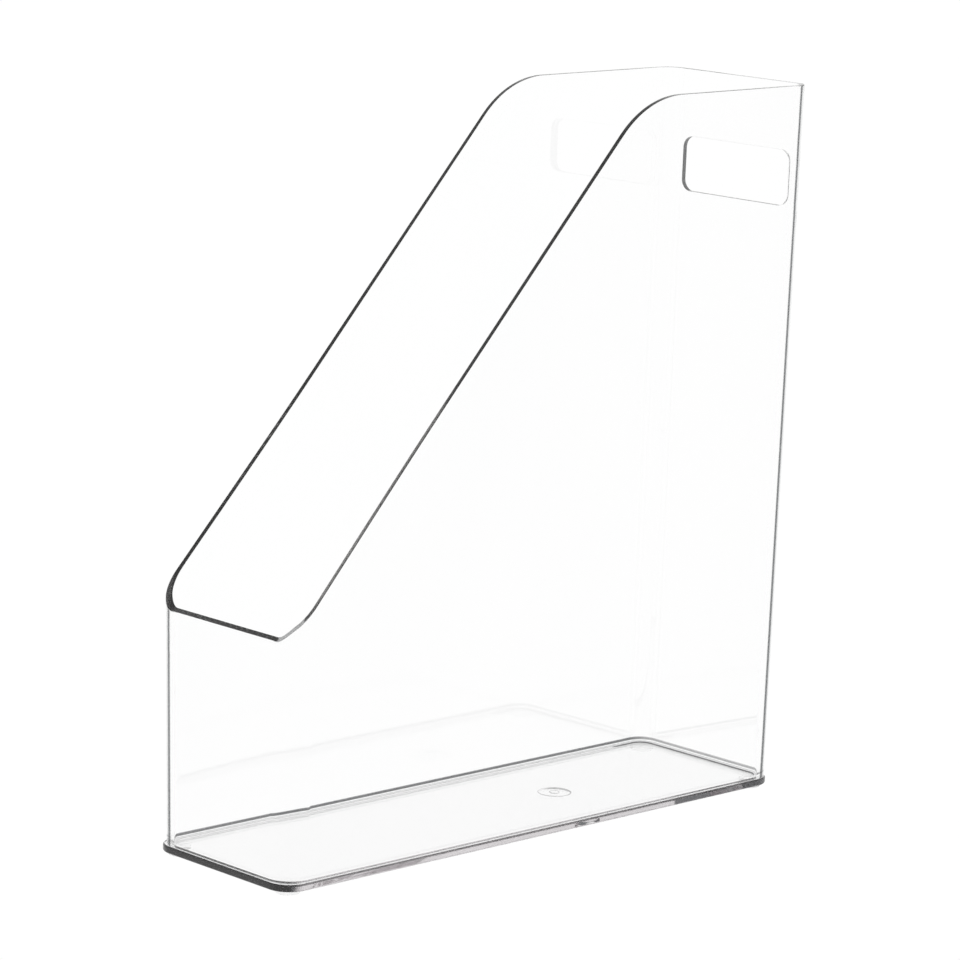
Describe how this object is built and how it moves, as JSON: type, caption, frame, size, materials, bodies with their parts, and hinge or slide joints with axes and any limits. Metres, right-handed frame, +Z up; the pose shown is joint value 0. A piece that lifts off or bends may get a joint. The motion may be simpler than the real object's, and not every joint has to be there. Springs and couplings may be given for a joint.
{
  "type": "magazine rack",
  "caption": "Clear plastic upright magazine holder: low front, sloping sides, tall back with a finger hole, on a base plate with bumper feet",
  "frame": {"origin": "on the surface that the rack stands on, below the middle of its bounding box", "axes": "+Z up, +X across the rack, +Y from the low front to the tall back"},
  "size_m": [0.0848, 0.2802, 0.3025],
  "materials": {
    "clear_plastic": "water-clear moulded plastic, polished, with fine moulding ripple",
    "clear_bumper": "clear soft bumper, slightly hazy"
  },
  "bodies": {
    "root": {"wall_shell": "clear_plastic", "base_plate": "clear_plastic", "foot_front_left": "clear_bumper", "foot_front_right": "clear_bumper", "foot_back_left": "clear_bumper", "foot_back_right": "clear_bumper"}
  },
  "joints": []
}
